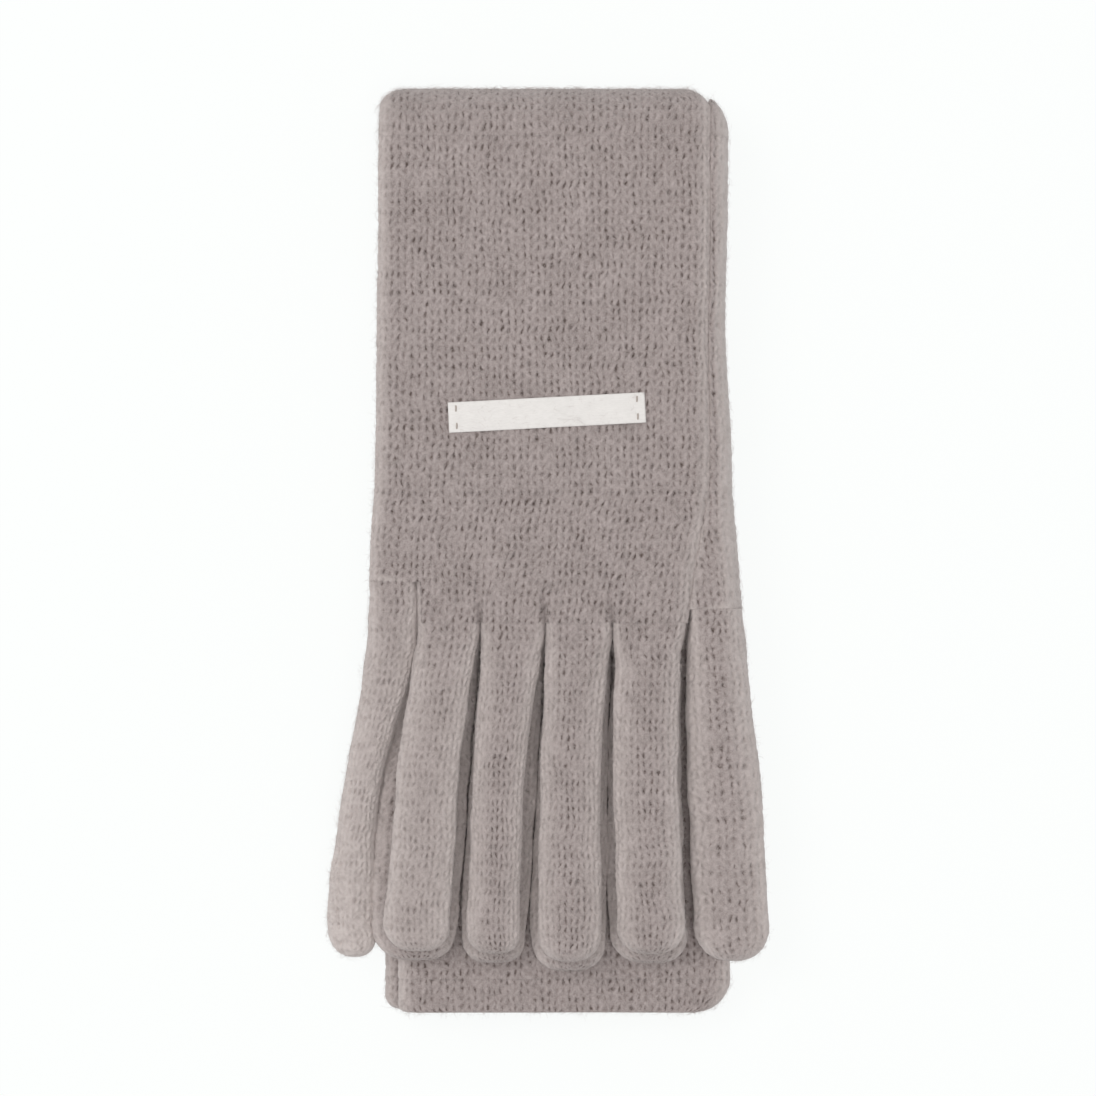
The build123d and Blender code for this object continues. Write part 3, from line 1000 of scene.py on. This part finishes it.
def tacks(tape):
    """A short thread over the tape near each corner, with both ends going down into the cloth."""
    across, along = tape.shape[0] - 1, tape.shape[1] - 1
    sides, steps = 8, 14
    points, faces = [], []
    for i in (TACK_IN_X, 1 - TACK_IN_X):
        for j in (TACK_IN_Y, 1 - TACK_IN_Y):
            foot = tape[round(i * across), round(j * along)]
            start = len(points) * sides
            for step in range(steps + 1):
                angle = math.pi * step / steps
                height = TACK_RISE * math.sin(angle) - TACK_SINK
                spine = foot + np.array([0, -TACK_SPAN / 2 * math.cos(angle), height])
                outward = np.array([0, -math.cos(angle), math.sin(angle)])
                turns = [2 * math.pi * k / sides for k in range(sides)]
                sideways = np.array([1.0, 0, 0])
                spokes = [math.cos(t) * outward + math.sin(t) * sideways for t in turns]
                points.append([spine + THREAD_RADIUS * spoke for spoke in spokes])
            quads = start + strip(range(steps), range(1, steps + 1), sides)[0]
            first = start + np.arange(sides)[None]
            faces += [quads, first[:, ::-1], first + steps * sides]
    piece = new_mesh("woven_label_tacks_thread", np.array(points).reshape(-1, 3), faces)
    place_piece(piece, "woven_label_tacks", STITCH, rider("left_front"))


# ---------------------------------------------------------------- floor, light and camera


def floor():
    """A pale floor, bright of itself, so that only a faint shadow shows round the object."""
    bpy.ops.mesh.primitive_plane_add(size=FLOOR_SIZE, location=(0, 0, FLOOR_Z))
    plane = bpy.context.object
    plane.name = "floor"
    g = Graph("floor")
    g.shader.inputs["Base Color"].default_value = (*FLOOR_DIFFUSE, 1.0)
    g.shader.inputs["Roughness"].default_value = 1.0
    g.shader.inputs["Specular IOR Level"].default_value = 0.0
    g.shader.inputs["Emission Color"].default_value = (*FLOOR_GLOW, 1.0)
    g.shader.inputs["Emission Strength"].default_value = FLOOR_STRENGTH
    plane.data.materials.append(g.material)


def area_light(name, place, size, power):
    data = bpy.data.lights.new(name, "AREA")
    data.shape = "SQUARE"
    data.size = size
    data.energy = power
    data.color = LAMP_COLOUR
    lamp = bpy.data.objects.new(name, data)
    lamp.location = place
    lamp.rotation_euler = (-Vector(place)).to_track_quat("-Z", "Y").to_euler()
    bpy.context.scene.collection.objects.link(lamp)


def light():
    world = bpy.data.worlds.new("world")
    world.use_nodes = True
    background = world.node_tree.nodes["Background"]
    background.inputs["Color"].default_value = (1.0, 1.0, 1.0, 1.0)
    background.inputs["Strength"].default_value = WORLD_STRENGTH
    bpy.context.scene.world = world
    for lamp in LAMPS:
        area_light(*lamp)


def camera():
    data = bpy.data.cameras.new("camera")
    data.lens = LENS
    data.sensor_width = SENSOR
    data.clip_start = 0.05
    seen_from = bpy.data.objects.new("camera", data)
    seen_from.location = (0.0, 0.0, LEFT.front_z + LEFT.half_height + LENS * VIEW_SIDE / SENSOR)
    bpy.context.scene.collection.objects.link(seen_from)
    bpy.context.scene.camera = seen_from
    bpy.context.scene.view_settings.view_transform = "Standard"


# ---------------------------------------------------------------- the scene

# Each digit's edges, bowed sideways: (share of the length from the root, shift in mm, + towards +x).
LEFT_SHAPES = {
    "thumb": {
        "bow_left": ((0, 0.3), (0.2, 0.9), (0.4, 0.7), (0.6, -0.5), (0.8, -1.2), (0.93, -0.6), (1, 0.6)),
        "bow_right": ((0, 1.5), (0.24, 1.5), (0.45, -2.4), (0.6, -4.0), (0.8, -2.6), (1, -0.6)),
        "reach": 1.4 * MM,
        "pale": (0.35, 0.85),
    },
    "index_finger": {
        "bow_left": ((0, 0), (0.25, -0.4), (0.4, -1.0), (0.6, 0.3), (0.85, -0.2), (1, 0)),
        "bow_right": ((0, 0), (0.12, -0.9), (0.3, -0.9), (0.5, -1.2), (0.85, -0.4), (1, 0.4)),
        "pale": (0.18, 0.25),
    },
    "middle_finger": {
        "bow_left": ((0, 0), (0.12, 0.4), (0.5, 0.2), (1, 0)),
        "bow_right": ((0, 0), (0.12, -1.0), (0.3, -1.3), (0.5, -1.8), (0.85, -0.9), (1, 0)),
    },
    "ring_finger": {
        "bow_left": ((0, 0), (0.12, 0.4), (0.5, 0.3), (0.85, 0.5), (1, 0)),
        "bow_right": ((0, 0), (0.12, -0.9), (0.3, -1.0), (0.5, -1.2), (0.85, -0.1), (1, 0)),
    },
    "little_finger": {
        "bow_left": ((0, 0), (0.12, 0.4), (0.5, 0.2), (0.85, 0.6), (1, 0)),
        "bow_right": ((0, -0.6), (0.3, -0.8), (0.5, -1.0), (0.85, -0.4), (1, 0.2)),
    },
}
RIGHT_SHAPES = {
    "thumb": {
        "bow_left": ((0, -1.0), (0.3, -1.0), (0.85, 0.0), (1, 0)),
        "bow_right": ((0, 0.6), (0.26, 0.6), (0.4, 1.6), (0.54, 2.1), (0.63, 1.6), (0.75, 0.6), (1, 0)),
        "raised": SWELL,
        "reach": 1.4 * MM,
        "pale": (0.0, 0.1),
    },
    "index_finger": {
        "bow_left": ((0, 0), (0.3, -1.2), (0.5, -1.7), (0.85, -2.2), (1, -1.0)),
        "bow_right": ((0, 0), (0.8, 0.8), (1, 1.5)),
    },
    "middle_finger": {
        "bow_left": ((0, 0), (0.3, -0.4), (0.85, -2.0), (1, -1.0)),
        "bow_right": ((0, 0), (0.3, 1.0), (0.5, 1.4), (0.85, 2.2), (1, 1.0)),
    },
    "ring_finger": {
        "bow_left": ((0, 0), (0.3, -0.7), (0.85, -2.2), (1, -1.0)),
        "bow_right": ((0, 0), (0.3, 1.6), (0.5, 2.2), (0.85, 2.4), (1, 1.0)),
    },
    "little_finger": {
        "bow_left": ((0, 0), (0.3, -3.2), (0.45, -5.6), (0.6, -6.2), (0.85, -4.6), (1, -1.5)),
        "bow_right": ((0, 0), (0.3, 1.4), (0.85, 2.4), (1, 1.0)),
    },
}

for hand in (LEFT, RIGHT):
    back_layer(hand)
fold_layer(LEFT, FINE, LEFT.back_z + LEFT.half_height, LEFT.front_z - LEFT.half_height)
fold_layer(RIGHT, PLAIN, RIGHT.back_z, RIGHT.front_z)
front_layer(LEFT, FINE)
front_layer(RIGHT, FINE)
digits(LEFT, LEFT_SHAPES, FINE)
digits(RIGHT, RIGHT_SHAPES, FINE)
tacks(label())
floor()
light()
camera()

bpy.context.view_layer.update()
